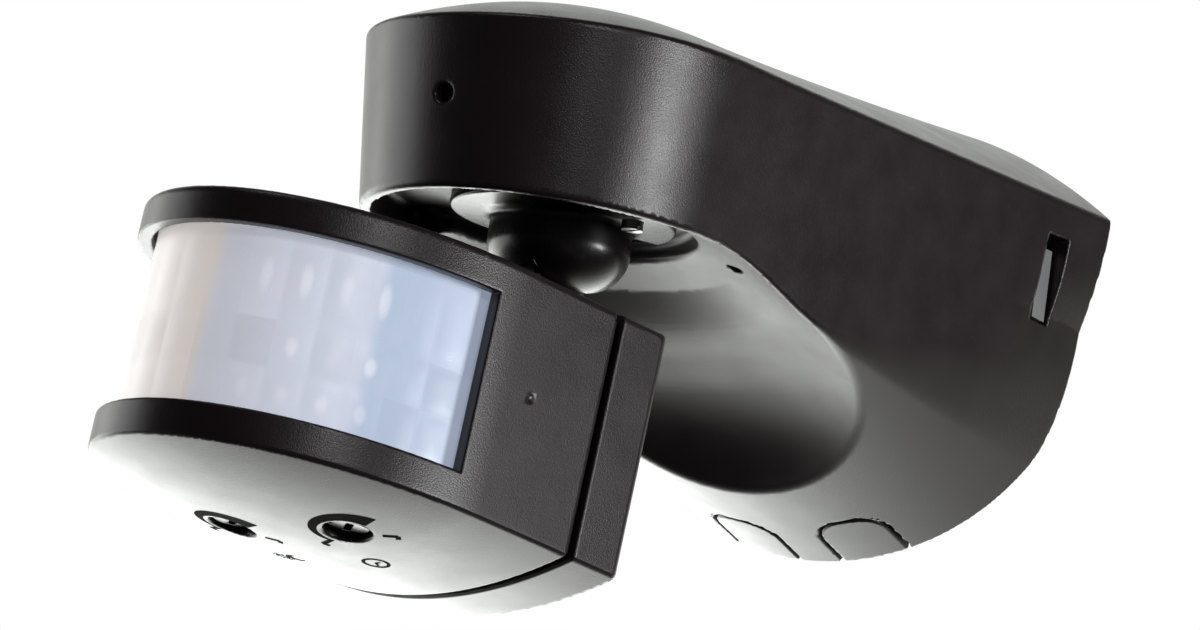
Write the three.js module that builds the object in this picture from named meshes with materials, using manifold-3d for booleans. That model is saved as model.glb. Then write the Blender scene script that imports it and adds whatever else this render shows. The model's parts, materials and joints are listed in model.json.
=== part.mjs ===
// Wall-mounted outdoor motion sensor: a hollow wall housing with a rounded nose, a swivel neck under the
// nose, and a sensor head with a wrap-round Fresnel lens and two adjusters in its underside.
// Millimetres. The wall is the plane y = 0, the nose points to -Y, +Z is up, and z = 0 is the top rim.
import * as THREE from "three";
import { mergeVertices } from "three/addons/utils/BufferGeometryUtils.js";
import Module from "manifold-3d";

const wasm = await Module();
wasm.setup();

// ---- Driving dimensions ----
const GAP = 0.3; // clearance between two pieces that touch
const SKIN = 2.2; // wall thickness of the housing

const NOSE_R = 28; // half-width of the housing at its nose
const NOSE_LONG = 33.8; // length of the nose in front of the swivel axis
const SWIVEL_Y = -80.9; // the swivel axis, measured from the wall
const WALL_HALF = 40.5; // half-width of the housing at the wall
const DRAFT = 0.1; // how much the walls lean in, per mm of depth
const NOSE_DIP = 1.3; // how far the top rim drops at the tip of the nose
const CROWN = 15; // rise of the roof above the rim at the wall
const ROUND_Z = -16.4; // where the housing's lower outline starts to round
const ROUND_DEPTH = 34.7; // depth of that rounding at the wall
const RISE = 0.244; // how much shallower it gets per mm ahead of the wall
const LEVEL_Y = -70; // where it stops getting shallower
const CEILING_Z = -19.3; // underside of the nose round the swivel
const RIM_Z = -24.4; // lower rim of the nose
const CEILING_R = 18.5; // radius of its flat part
const NOSE_WALL = 1.6; // thickness of the nose's wall at its lower rim
// The side of the bowl that the head turns in, as [radius, z] up to the rim of the nose.
const BOWL_SIDE = [[59.4, -47.5], [56.8, -42.6], [52.4, -37.9], [46.5, -34.1], [39.5, -31.2], [32.3, -28.4]];

const NECK_BORE = 7.6;
const NECK_R = 9.8;
const FLANGE_R = 15.5;
const PIVOT_Z = -25; // the tilt axis, in the rounded end of the neck
const PAN_DEG = -15; // how the head is turned and tipped at rest
const TIP_DEG = 5.6;

const HEAD_R = 27; // half-width of the sensor head
const HEAD_LONG = 36.9; // length of its rounded front
const HEAD_HALF = 16.75; // half its height at the rims
const SPLIT_Y = 17.2; // the joint between its front and its back cover
const BACK_Y = 26.7;
const BACK_BULGE = 6;
const DOME = 4.8; // depth of the dome under the head
const LID = 2.6; // height of the dome on top of it
const HEAD_SKIN = 2;
const LENS_TOP = 12.2;
const LENS_BOTTOM = -12;
const LENS_END = -3.5;
const LENS_INSET = 2.6;
const LENS_THICK = 1;
const PIVOT_Y = 27.6; // the tilt axis in the head's own frame
const PIVOT_UP = 31;
const DIAL_AT = { time: [10.7, -6.4], light: [-7.4, -10.7] }; // the two adjusters under the head
const DIAL_R = 3.3;

// ---- Materials ----
const paint = (color, roughness, metalness = 0) =>
  new THREE.MeshStandardMaterial({ color, roughness, metalness });
const brown = paint(0x3a2f2f, 0.5);
const darkPlastic = paint(0x1c1818, 0.45);
const milky = paint(0xdcdfe6, 0.35);
const rubber = paint(0x161616, 0.85);
const steel = paint(0xa9abad, 0.35, 1);
const brass = paint(0xb9994e, 0.35, 1);
const board = paint(0x1f5a35, 0.6);
const grey = paint(0x8c8f90, 0.55);
const black = paint(0x101010, 0.5);
const blue = paint(0x2c5d9c, 0.5);
const ledRed = paint(0xc03028, 0.3);

// ---- Solids ----
function solid(geometry) {
  const g = geometry.clone();
  g.deleteAttribute("normal");
  g.deleteAttribute("uv");
  const merged = mergeVertices(g, 1e-4);
  const mesh = new wasm.Mesh({
    numProp: 3,
    vertProperties: new Float32Array(merged.attributes.position.array),
    triVerts: new Uint32Array(merged.index.array),
  });
  const made = new wasm.Manifold(mesh);
  if (made.volume() > 0) return made;
  mesh.triVerts = mesh.triVerts.map((v, i, all) => all[i - (i % 3) + (2 - (i % 3))]);
  return new wasm.Manifold(mesh);
}

function box([x0, y0, z0], [x1, y1, z1]) {
  const g = new THREE.BoxGeometry(x1 - x0, y1 - y0, z1 - z0);
  return solid(g.translate((x0 + x1) / 2, (y0 + y1) / 2, (z0 + z1) / 2));
}

// A cylinder that starts at a point and runs along an axis.
function rod(radius, length, from, axis = "z", sides = 24, tipRadius = radius) {
  const g = new THREE.CylinderGeometry(tipRadius, radius, length, sides).translate(0, length / 2, 0);
  if (axis === "z") g.rotateX(Math.PI / 2);
  if (axis === "x") g.rotateZ(-Math.PI / 2);
  return solid(g.translate(...from));
}

function ball(radius, at, sides = 24) {
  return solid(new THREE.SphereGeometry(radius, sides, sides / 2).rotateX(Math.PI / 2).translate(...at));
}

// A solid of revolution about the upright line through (0, y): the profile is a list of [radius, z].
function turned(profile, y, sides = 40) {
  const points = profile.map(([r, z]) => new THREE.Vector2(r, z));
  return solid(new THREE.LatheGeometry(points, sides).rotateX(Math.PI / 2).translate(0, y, 0));
}

// A closed solid through rings of points, each ring a plane outline with the same number of points.
function loft(rings) {
  const n = rings[0].length;
  const flat = rings[0].map(([x, y, z, u = x, v = y]) => new THREE.Vector2(u, v));
  const caps = THREE.ShapeUtils.triangulateShape(flat, []);
  const index = [];
  for (let k = 0; k + 1 < rings.length; k++) {
    for (let i = 0; i < n; i++) {
      const j = (i + 1) % n;
      const [a, b] = [k * n + i, k * n + j];
      index.push(a, b, b + n, a, b + n, a + n);
    }
  }
  const last = (rings.length - 1) * n;
  for (const [a, b, c] of caps) index.push(c, b, a, a + last, b + last, c + last);
  const g = new THREE.BufferGeometry();
  const position = rings.flat().flatMap(([x, y, z]) => [x, y, z]);
  g.setAttribute("position", new THREE.Float32BufferAttribute(position, 3));
  g.setIndex(index);
  return solid(g);
}

// A prism of a plan outline, from z0 to z1.
const prism = (outline, z0, z1) =>
  loft([outline.map(([x, y]) => [x, y, z0]), outline.map(([x, y]) => [x, y, z1])]);

// Everything between two height fields, top(x, y) and bottom(x, y), over a rectangle.
function slab(top, bottom, [x0, x1], [y0, y1], cells) {
  const at = (a, b, i) => a + ((b - a) * i) / cells;
  const rows = cells + 1;
  const position = [];
  for (const level of [top, bottom]) {
    for (let j = 0; j < rows; j++) {
      for (let i = 0; i < rows; i++) {
        const [x, y] = [at(x0, x1, i), at(y0, y1, j)];
        position.push(x, y, level(x, y));
      }
    }
  }
  const low = rows * rows;
  const index = [];
  const quad = (a, b, c, d) => index.push(a, b, c, a, c, d);
  for (let j = 0; j < cells; j++) {
    for (let i = 0; i < cells; i++) {
      const a = j * rows + i;
      quad(a, a + 1, a + rows + 1, a + rows);
      quad(low + a + rows, low + a + rows + 1, low + a + 1, low + a);
    }
    const [left, back] = [j * rows, cells * rows + j];
    const right = left + cells;
    quad(j, low + j, low + j + 1, j + 1);
    quad(back + 1, low + back + 1, low + back, back);
    quad(left + rows, low + left + rows, low + left, left);
    quad(right, low + right, low + right + rows, right + rows);
  }
  const g = new THREE.BufferGeometry();
  g.setAttribute("position", new THREE.Float32BufferAttribute(position, 3));
  g.setIndex(index);
  return solid(g);
}

function toMesh(name, body, material) {
  const m = body.getMesh();
  const position = new Float32Array(m.numVert * 3);
  for (let i = 0; i < m.numVert; i++) {
    position.set(m.vertProperties.subarray(i * m.numProp, i * m.numProp + 3), i * 3);
  }
  let g = new THREE.BufferGeometry();
  g.setAttribute("position", new THREE.BufferAttribute(position, 3));
  g.setIndex(new THREE.BufferAttribute(m.triVerts, 1));
  g = g.toNonIndexed();
  g.computeVertexNormals();
  const mesh = new THREE.Mesh(g, material);
  mesh.name = name;
  return mesh;
}

// ---- Outlines ----
// A D-shaped plan, drawn anticlockwise: an elliptical front round (0, arcY) and straight flanks, tangent
// to it, that run back to (+-rearHalf, rearY).
function dPlan(halfWidth, length, arcY, rearHalf, rearY, steps = 26) {
  const a = rearHalf / halfWidth;
  const b = (rearY - arcY) / length;
  const tangent = Math.atan2(b, a) - Math.acos(1 / Math.hypot(a, b));
  const points = [[-rearHalf, rearY]];
  for (let i = 0; i <= steps; i++) {
    const t = -Math.PI - tangent + ((Math.PI + 2 * tangent) * i) / steps;
    points.push([halfWidth * Math.cos(t), arcY + length * Math.sin(t)]);
  }
  points.push([rearHalf, rearY]);
  return points;
}

// Half the width of such a plan at a given y.
function halfAt(y, halfWidth, length, arcY, rearHalf, rearY) {
  const flank = halfWidth + ((rearHalf - halfWidth) * (y - arcY)) / (rearY - arcY);
  if (y >= arcY) return flank;
  return halfWidth * Math.sqrt(Math.max(0, 1 - ((arcY - y) / length) ** 2));
}

// An outline in the y-z plane as a solid from x0 to x1.
const alongX = (outline, x0, x1) =>
  loft([outline.map(([y, z]) => [x0, y, z, y, z]), outline.map(([y, z]) => [x1, y, z, y, z])]);

// ---- Housing ----
const FAR = 80;
const WALL_ROUND_HALF = WALL_HALF + DRAFT * ROUND_Z;

// The housing's plan at height z, set in by t, with its flanks carried on to y = rear.
function housingPlan(z, t, rear = 0) {
  const lean = t - DRAFT * z;
  const flare = ((WALL_HALF - NOSE_R) / -SWIVEL_Y) * rear;
  return dPlan(NOSE_R - lean, NOSE_LONG - lean, SWIVEL_Y, WALL_HALF - lean + flare, rear);
}

function roofAt(x, y) {
  const half = halfAt(y, NOSE_R, NOSE_LONG, SWIVEL_Y, WALL_HALF, 0);
  const ahead = Math.min(1, Math.max(0, (SWIVEL_Y - y) / NOSE_LONG));
  return -NOSE_DIP * ahead ** 2 + (CROWN / WALL_HALF ** 2) * (half ** 2 - x ** 2);
}

// The housing's outer form set in by t, still without its bowl.
function housingForm(t, rear = 0) {
  const at = (z) => housingPlan(z, t, rear).map(([x, y]) => [x, y, z]);
  const walls = loft([at(-56), at(20)]);
  const roof = slab(
    (x, y) => roofAt(x, y) - t,
    () => -FAR,
    [-46, 46],
    [-120, 6],
    14,
  );
  const rounding = (y) => {
    const outline = [[FAR, ROUND_Z], [FAR, FAR], [-FAR, FAR], [-FAR, ROUND_Z]];
    const steps = 24;
    for (let i = 0; i <= steps; i++) {
      const a = Math.PI + (Math.PI * i) / steps;
      const x = (WALL_ROUND_HALF - t) * Math.cos(a);
      outline.push([x, ROUND_Z + (ROUND_DEPTH + RISE * Math.max(y, LEVEL_Y) - t) * Math.sin(a)]);
    }
    return outline.map(([x, z]) => [x, y, z, x, z]);
  };
  return walls.intersect(roof).intersect(loft([rounding(10), rounding(LEVEL_Y), rounding(-125)]));
}

// The space under the nose that the neck and the head turn in, grown by t.
function bowl(t) {
  const rim = new THREE.Vector2(NOSE_R + DRAFT * RIM_Z, RIM_Z);
  const grown = (path) => path.getPoints(4).map((p) => [p.x > 0 ? p.x + t : 0, p.y + t]);
  const side = new THREE.Path();
  side.moveTo(0, -FAR);
  side.lineTo(BOWL_SIDE[0][0], -FAR);
  side.lineTo(...BOWL_SIDE[0]);
  side.splineThru([...BOWL_SIDE.slice(1).map(([r, z]) => new THREE.Vector2(r, z)), rim]);
  side.lineTo(0, RIM_Z);
  const ceiling = new THREE.Path();
  const last = BOWL_SIDE[BOWL_SIDE.length - 1];
  ceiling.moveTo(0, last[1]);
  ceiling.lineTo(...last);
  ceiling.quadraticCurveTo(CEILING_R + 6, CEILING_Z, CEILING_R, CEILING_Z);
  ceiling.lineTo(0, CEILING_Z);
  const walled = prism(housingPlan(RIM_Z, NOSE_WALL - t), -60, 0);
  const upper = turned(grown(ceiling), SWIVEL_Y).intersect(walled);
  const front = box([-FAR, -FAR * 2, -FAR], [FAR, SWIVEL_Y, RIM_Z + t]);
  return turned(grown(side), SWIVEL_Y).add(upper).add(front);
}

const SHELL = housingForm(0);
const HOLLOW = housingForm(SKIN, 3).subtract(bowl(SKIN));

const SCREW_Z = -12; // the locking screw in the tip of the nose
const NOSE_TIP_Y = SWIVEL_Y - NOSE_LONG - DRAFT * SCREW_Z;
const SLOT = { y: [-13.5, -8.8], z: [-17.5, -5.1] };
const KNOCK = { x: 8.9, half: 5.5, deep: 11.7 };

// A cable entry in the lower rim: a U in plan, cut right through the skin.
function cableEntry(side, t) {
  const r = 4.6;
  const [w, d] = [KNOCK.half - t, KNOCK.deep - t];
  const u = new THREE.Shape();
  u.moveTo(w, 1);
  u.lineTo(-w, 1);
  u.lineTo(-w, -d + r);
  u.quadraticCurveTo(-w, -d, -w + r, -d);
  u.lineTo(w - r, -d);
  u.quadraticCurveTo(w, -d, w, -d + r);
  const outline = u.getPoints(6).map((p) => [side * KNOCK.x + p.x, p.y]);
  return prism(outline, -60, -30);
}

function drillNose(body) {
  const hole = rod(1.45, 12, [0, NOSE_TIP_Y - 4, SCREW_Z], "y", 24);
  const mouth = rod(2.1, 1.6, [0, NOSE_TIP_Y - 0.7, SCREW_Z], "y", 24, 1.45);
  return body.subtract(hole).subtract(mouth);
}

function housingCover() {
  let body = SHELL.subtract(HOLLOW).subtract(bowl(0));
  body = body.subtract(rod(NECK_BORE, 12, [0, SWIVEL_Y, -24], "z"));
  for (const side of [-1, 1]) {
    const [near, far] = side < 0 ? [-50, -30] : [30, 50];
    body = body.subtract(box([near, SLOT.y[0], SLOT.z[0]], [far, SLOT.y[1], SLOT.z[1]]));
    body = body.subtract(cableEntry(side, 0));
  }
  const drain = rod(1.3, 12, [19.2, SWIVEL_Y + 15, -36], "z", 16);
  return drillNose(body).subtract(drain);
}

function knockout(side) {
  return SHELL.subtract(HOLLOW).subtract(bowl(0)).intersect(cableEntry(side, 0.35));
}

// ---- Wall plate and what it carries ----
const PLATE = 2.4;
const POST_X = 22.4; // the posts on the plate that carry the power board
const POST_Z = [-31, -2];
const PLATE_FORM = housingForm(SKIN + 0.6);

function wallPlate() {
  let body = PLATE_FORM.intersect(box([-60, -PLATE, -60], [60, 0, 60]));
  const frame = PLATE_FORM.subtract(housingForm(SKIN + 1.8));
  body = body.add(frame.intersect(box([-60, -6, -60], [60, -1, 60])));
  for (const side of [-1, 1]) {
    const x = side * 22;
    const slot = box([x - 4.5, -9, -8], [x + 4.5, 1, -4]);
    body = body.subtract(slot).subtract(rod(2, 9, [x - 4.5, -8, -6], "y", 24));
    body = body.subtract(rod(2, 9, [x + 4.5, -8, -6], "y", 24));
    const spring = box([30.8, -14, -16.6], [32.4, -1, -6]);
    const catchBody = box([31.5, -13.2, -17.2], [36.5, -9.6, -6.9]);
    const latch = spring.add(catchBody);
    body = body.add(side < 0 ? latch.mirror([1, 0, 0]) : latch);
    for (const z of POST_Z) body = body.add(rod(2.8, 20.2, [side * POST_X, -22.4, z], "y", 20));
  }
  return body.subtract(rod(7, 12, [0, -9, -30], "y", 32));
}

function cableGrommet() {
  const outer = rod(9.4, 1.4, [0, -4.1, -30], "y", 32).add(rod(6.7, 3.6, [0, -4, -30], "y", 32));
  return outer.subtract(rod(4.2, 8, [0, -6, -30], "y", 32));
}

function plateSeal() {
  const ring = housingForm(SKIN + 2.1).subtract(housingForm(SKIN + 3.4));
  return ring.intersect(box([-60, -3.9, -60], [60, -PLATE - GAP, 60]));
}

const BOARD_Y = -24.3;
function powerBoard() {
  let body = box([-26, BOARD_Y, -33.8], [26, BOARD_Y + 1.6, 2]);
  for (const side of [-1, 1]) {
    for (const z of POST_Z) body = body.subtract(rod(1.4, 6, [side * POST_X, BOARD_Y - 2, z], "y", 16));
  }
  return body;
}

const ON_BOARD = BOARD_Y + 1.6 + GAP; // where the parts on the board's rear face start

function terminalBlock() {
  let body = box([-13.5, ON_BOARD, -12], [13.5, ON_BOARD + 11, -1]);
  for (const x of [-9, 0, 9]) {
    body = body.subtract(box([x - 2.6, ON_BOARD + 2, -13], [x + 2.6, ON_BOARD + 6.5, -5]));
    body = body.subtract(rod(2.3, 8, [x, ON_BOARD + 7.5, -4.2], "y", 20));
  }
  return body;
}

function terminalScrew(x) {
  const head = rod(1.9, 2.2, [x, ON_BOARD + 8, -4.2], "y", 20);
  const slot = box([x - 2.5, ON_BOARD + 9.4, -4.5], [x + 2.5, ON_BOARD + 12, -3.9]);
  return head.subtract(slot);
}

const relay = () => box([-18, ON_BOARD, -24.5], [-2, ON_BOARD + 12, -14]);
const varistor = () => rod(4.5, 3.2, [17, ON_BOARD + 0.4, -19], "y", 24);

function capacitor() {
  const can = rod(5, 12.5, [7, ON_BOARD, -19.5], "y", 32);
  return can.subtract(rod(0.8, 1, [7, ON_BOARD + 12, -19.5], "y", 12));
}

function fuse() {
  const tube = rod(2, 11, [16.3, ON_BOARD + 2.8, -12.8], "z", 20);
  return tube.add(rod(2.3, 2.4, [16.3, ON_BOARD + 2.8, -13], "z", 20));
}

function boardScrew(x, z) {
  const head = rod(2.5, 1.6, [x, BOARD_Y - 1.9, z], "y", 20);
  return head.subtract(box([x - 3, BOARD_Y - 2.4, z - 0.35], [x + 3, BOARD_Y - 1.2, z + 0.35]));
}

// The frame that runs from the rear of the housing to the nose, and takes the locking screw.
function innerFrame() {
  const front = NOSE_TIP_Y + SKIN + 1.8;
  let body = box([-11, front + 4, -8], [11, -28, -6.2]);
  body = body.add(box([-6, front, -16.4], [6, front + 4.2, -6.2]));
  for (const side of [-1, 1]) {
    const x = side * 10;
    body = body.add(box([x - 1, front + 14, -8], [x + 1, -28, -2.5]));
  }
  body = body.add(box([-11, -29.5, -14], [11, -27.8, -6.2]));
  return body.subtract(rod(1.5, 12, [0, front - 2, SCREW_Z], "y", 20));
}

function lockingScrew() {
  const shank = rod(1.1, 6, [0, NOSE_TIP_Y + 2.4, SCREW_Z], "y", 20);
  return shank.subtract(box([-1.3, NOSE_TIP_Y, SCREW_Z - 0.3], [1.3, NOSE_TIP_Y + 3.2, SCREW_Z + 0.3]));
}

// ---- Neck ----
// It turns in the nose, and its rounded end is a fork for the head's tongue. It is drawn at the swivel axis.
const FORK_HALF = 3.3;
const NECK_END = 6.5;
const STEM_TOP = -11;

function swivelNeck() {
  const side = new THREE.Path();
  side.moveTo(0, PIVOT_Z - NECK_END);
  const steps = 8;
  for (let i = 1; i <= steps; i++) {
    const a = ((Math.PI / 2) * i) / steps;
    side.lineTo(NECK_R * Math.sin(a), PIVOT_Z - NECK_END * Math.cos(a));
  }
  side.lineTo(NECK_R, CEILING_Z - GAP - 3);
  side.quadraticCurveTo(NECK_R, CEILING_Z - GAP - 1.8, NECK_R + 1.4, CEILING_Z - GAP - 1.6);
  side.lineTo(FLANGE_R - 0.4, CEILING_Z - GAP - 1.3);
  side.lineTo(FLANGE_R, CEILING_Z - GAP - 0.9);
  side.lineTo(FLANGE_R, CEILING_Z - GAP);
  side.lineTo(NECK_BORE - GAP, CEILING_Z - GAP);
  side.lineTo(NECK_BORE - GAP, STEM_TOP);
  side.lineTo(0, STEM_TOP);
  const body = turned(side.getPoints(4).map((p) => [p.x, p.y]), 0, 32);
  const fork = box([-FORK_HALF, -FAR, PIVOT_Z - 12], [FORK_HALF, FAR, PIVOT_Z + 5.6]);
  const mouth = box([-4, -NECK_R - 1, -FAR], [4, NECK_R + 1, FAR]);
  const duct = rod(2.6, 30, [0, 0, PIVOT_Z], "z", 24);
  const pinHole = rod(1.7, 30, [-15, 0, PIVOT_Z], "x", 24);
  return body.subtract(fork.intersect(mouth)).subtract(duct).subtract(pinHole);
}

function ring(inner, outer, z0, z1, sides = 32) {
  const hole = rod(inner, z1 - z0 + 2, [0, 0, z0 - 1], "z", 32);
  return rod(outer, z1 - z0, [0, 0, z0], "z", sides).subtract(hole);
}

const CEILING_TOP = CEILING_Z + SKIN;
const swivelWasher = () => ring(NECK_BORE + 0.1, 12.5, CEILING_TOP + GAP, CEILING_TOP + 1.1);
const swivelNut = () => ring(NECK_BORE + 0.1, 11, CEILING_TOP + 1.4, STEM_TOP - 1.2, 6);
const pivotPin = () => rod(1.4, 2 * NECK_R - 4, [-NECK_R + 2, 0, PIVOT_Z], "x", 24);

// The small clamp screw in the flange, beside the neck.
const CLAMP = { x: 12.3, y: 1.6, z: CEILING_Z - GAP - 3.2 };
function clampScrew() {
  const { x, y, z } = CLAMP;
  const head = rod(1.5, 1.3, [x, y, z], "z", 20);
  return head.subtract(box([x - 2, y - 0.3, z - 0.5], [x + 2, y + 0.3, z + 0.5]));
}

// ---- Head, drawn in its own frame: the middle of its rounded front is the origin ----
function headPlan(t, rear = BACK_Y) {
  return dPlan(HEAD_R - t, HEAD_LONG - t, 0, HEAD_R - t - 0.02 * rear, rear);
}

const headHalf = (y) => halfAt(y, HEAD_R, HEAD_LONG, 0, HEAD_R - 0.5, BACK_Y);

// A shallow dome over the head's plan whose edge is level.
function domeAt(x, y, rise) {
  const rear = Math.max(0, y - BACK_Y) / BACK_BULGE;
  const half = headHalf(Math.min(y, BACK_Y)) * Math.sqrt(Math.max(0, 1 - rear));
  return (rise / HEAD_R ** 2) * (half ** 2 - x ** 2);
}

function headForm(t) {
  const outline = headPlan(t);
  const steps = 14;
  const w = outline[0][0] * -1;
  for (let i = 1; i < steps; i++) {
    const x = w - (2 * w * i) / steps;
    outline.push([x, BACK_Y - t + BACK_BULGE * (1 - (x / w) ** 2)]);
  }
  const caps = slab(
    (x, y) => HEAD_HALF + domeAt(x, y, LID) - t,
    (x, y) => -HEAD_HALF - domeAt(x, y, DOME) + t,
    [-30, 30],
    [-40, 36],
    10,
  );
  return prism(outline, -30, 30).intersect(caps);
}

const HEAD = headForm(0);
const HEAD_HOLLOW = headForm(HEAD_SKIN);
const ahead = (y) => box([-FAR, -FAR, -FAR], [FAR, y, FAR]);
const behind = (y) => box([-FAR, y, -FAR], [FAR, FAR, FAR]);
const GROOVE = 1.3; // width of the groove between the head's two shells

function headFront() {
  let body = HEAD.subtract(HEAD_HOLLOW);
  for (const side of [-1, 1]) {
    const inner = side * 18.6;
    const outer = side * (HEAD_R - 1.2);
    const [x0, x1] = [Math.min(inner, outer), Math.max(inner, outer)];
    const post = box([x0, 8, -3], [x1, SPLIT_Y, 3]);
    body = body.add(post.subtract(rod(1.2, 12, [side * 21, 9, 0], "y", 16)));
  }
  const window = box([-FAR, -FAR, LENS_BOTTOM], [FAR, LENS_END, LENS_TOP]);
  body = body.intersect(ahead(SPLIT_Y)).subtract(window);
  for (const at of Object.values(DIAL_AT)) body = body.subtract(rod(DIAL_R, 8, [...at, -25], "z", 32));
  const dimple = ball(0.9, [HEAD_R, 5.2, 0.8], 16);
  return body.subtract(dimple);
}

function headBack() {
  const tongue = [];
  const steps = 20;
  const r = 5;
  for (let i = 0; i <= steps; i++) {
    const a = (Math.PI * i) / steps;
    tongue.push([PIVOT_Y + r * Math.cos(a), PIVOT_UP + r * Math.sin(a)]);
  }
  tongue.push([PIVOT_Y - 6.6, HEAD_HALF + 0.2], [PIVOT_Y + 2.6, HEAD_HALF + 0.2]);
  const half = FORK_HALF - 0.4;
  let body = HEAD.subtract(HEAD_HOLLOW).intersect(behind(SPLIT_Y + GROOVE));
  body = body.add(alongX(tongue, -half, half));
  body = body.subtract(rod(1.7, 20, [-10, PIVOT_Y, PIVOT_UP], "x", 24));
  for (const side of [-1, 1]) {
    body = body.subtract(rod(1.6, 20, [side * 21, 14, 0], "y", 20));
    body = body.subtract(rod(3.1, 3, [side * 21, 27.4, 0], "y", 24));
  }
  return body;
}

function fresnelLens() {
  const skin = prism(headPlan(LENS_INSET, 6), LENS_BOTTOM - 1.4, LENS_TOP + 1.4);
  const inside = prism(headPlan(LENS_INSET + LENS_THICK, 7), -30, 30);
  return skin.subtract(inside).intersect(ahead(LENS_END + 3));
}

function headSeal() {
  const band = headForm(1.1).subtract(headForm(3.4));
  return band.intersect(behind(SPLIT_Y + GAP)).intersect(ahead(SPLIT_Y + GROOVE - GAP));
}

function sensorBoard() {
  const plate = box([-18, 3, -11], [18, 4.6, 13]);
  return plate.subtract(box([-3, 2, 9], [3, 6, 14]));
}

// A can with an infrared window, facing forward and turned to one side.
function pyroSensor(turn) {
  const can = rod(4.1, 4, [0, -6, 0], "y", 28).add(rod(4.7, 1, [0, -2.4, 0], "y", 28));
  const window = box([-1.6, -7, -2], [1.6, -5.5, 2]);
  return can.subtract(window).rotate([0, 0, turn * 38]).translate([turn * 11, 0.6, 1]);
}

function dial(name) {
  const at = [...DIAL_AT[name], -19.9];
  const knob = rod(DIAL_R - 0.5, 2, at, "z", 32);
  const slot = box([at[0] - 1.9, at[1] - 0.45, at[2] - 1], [at[0] + 1.9, at[1] + 0.45, at[2] + 0.9]);
  return knob.subtract(slot);
}

function trimmer(name) {
  const [x, y] = DIAL_AT[name];
  return box([x - 3.4, y - 3.4, -17.6], [x + 3.4, y + 3.4, -14.3]);
}

const adjusterBoard = () => box([-17, -14.8, -14], [17, 1.5, -12.6]);
const statusLed = () => rod(1.5, 3, [0, -0.3, -8.2], "y", 20);

function backScrew(side) {
  const shank = rod(0.9, 14, [side * 21, 14.5, 0], "y", 16);
  const head = rod(2.6, 1.1, [side * 21, 27.7, 0], "y", 20);
  const slot = box([side * 21 - 3, 28.4, -0.35], [side * 21 + 3, 30.5, 0.35]);
  return shank.add(head).subtract(slot);
}

// ---- Assembly ----
const housing = new THREE.Group();
housing.add(
  toMesh("housing_cover", housingCover(), brown),
  toMesh("knockout_left", knockout(-1), brown),
  toMesh("knockout_right", knockout(1), brown),
  toMesh("wall_plate", wallPlate(), grey),
  toMesh("cable_grommet", cableGrommet(), rubber),
  toMesh("plate_seal", plateSeal(), rubber),
  toMesh("power_board", powerBoard(), board),
  toMesh("terminal_block", terminalBlock(), grey),
  toMesh("relay", relay(), black),
  toMesh("capacitor", capacitor(), darkPlastic),
  toMesh("varistor", varistor(), blue),
  toMesh("fuse", fuse(), steel),
  toMesh("inner_frame", innerFrame(), grey),
  toMesh("locking_screw", lockingScrew(), steel),
);
[-9, 0, 9].forEach((x, i) => housing.add(toMesh("terminal_screw_" + (i + 1), terminalScrew(x), brass)));
let boardScrews = 0;
for (const x of [-POST_X, POST_X]) {
  for (const z of POST_Z) {
    boardScrews += 1;
    housing.add(toMesh("board_screw_" + boardScrews, boardScrew(x, z), steel));
  }
}

const neck = new THREE.Group();
neck.position.y = SWIVEL_Y;
neck.rotation.z = THREE.MathUtils.degToRad(PAN_DEG);
neck.add(
  toMesh("swivel_neck", swivelNeck(), darkPlastic),
  toMesh("swivel_washer", swivelWasher(), steel),
  toMesh("swivel_nut", swivelNut(), brass),
  toMesh("pivot_pin", pivotPin(), steel),
  toMesh("clamp_screw", clampScrew(), steel),
);

const head = new THREE.Group();
head.position.z = PIVOT_Z;
head.rotation.x = THREE.MathUtils.degToRad(-TIP_DEG);
const inHead = new THREE.Group();
inHead.position.set(0, -PIVOT_Y, -PIVOT_UP);
inHead.add(
  toMesh("head_front", headFront(), brown),
  toMesh("head_back_cover", headBack(), brown),
  toMesh("fresnel_lens", fresnelLens(), milky),
  toMesh("head_seal", headSeal(), rubber),
  toMesh("sensor_board", sensorBoard(), board),
  toMesh("pyro_sensor_left", pyroSensor(-1), steel),
  toMesh("pyro_sensor_right", pyroSensor(1), steel),
  toMesh("status_led", statusLed(), ledRed),
  toMesh("adjuster_board", adjusterBoard(), board),
  toMesh("time_adjuster", dial("time"), black),
  toMesh("light_adjuster", dial("light"), black),
  toMesh("time_trimmer", trimmer("time"), grey),
  toMesh("light_trimmer", trimmer("light"), grey),
  toMesh("back_screw_left", backScrew(-1), steel),
  toMesh("back_screw_right", backScrew(1), steel),
);
head.add(inHead);
neck.add(head);

const motionSensor = new THREE.Group();
motionSensor.add(housing, neck);
export default motionSensor;
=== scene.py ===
# A wall-mounted outdoor motion sensor: fine surfaces, materials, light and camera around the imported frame.
# Shapes are worked out in millimetres, in the frame of the part, and turned into metres when a piece is made.
import json
import math

import bpy
import numpy as np
from mathutils import Matrix, Vector


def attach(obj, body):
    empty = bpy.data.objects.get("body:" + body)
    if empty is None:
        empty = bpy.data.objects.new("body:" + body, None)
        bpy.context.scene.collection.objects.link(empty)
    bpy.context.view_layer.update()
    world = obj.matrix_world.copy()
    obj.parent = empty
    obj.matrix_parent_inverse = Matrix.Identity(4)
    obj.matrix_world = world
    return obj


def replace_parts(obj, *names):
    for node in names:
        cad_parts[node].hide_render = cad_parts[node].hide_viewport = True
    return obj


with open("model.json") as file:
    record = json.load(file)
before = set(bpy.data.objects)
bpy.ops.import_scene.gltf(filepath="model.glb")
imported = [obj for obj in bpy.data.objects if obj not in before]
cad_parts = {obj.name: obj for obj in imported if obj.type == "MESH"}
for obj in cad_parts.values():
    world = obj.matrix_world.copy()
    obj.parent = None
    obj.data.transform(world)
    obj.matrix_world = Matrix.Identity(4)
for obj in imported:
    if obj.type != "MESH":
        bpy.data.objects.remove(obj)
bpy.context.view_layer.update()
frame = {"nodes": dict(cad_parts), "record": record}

MM = 0.001

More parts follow.
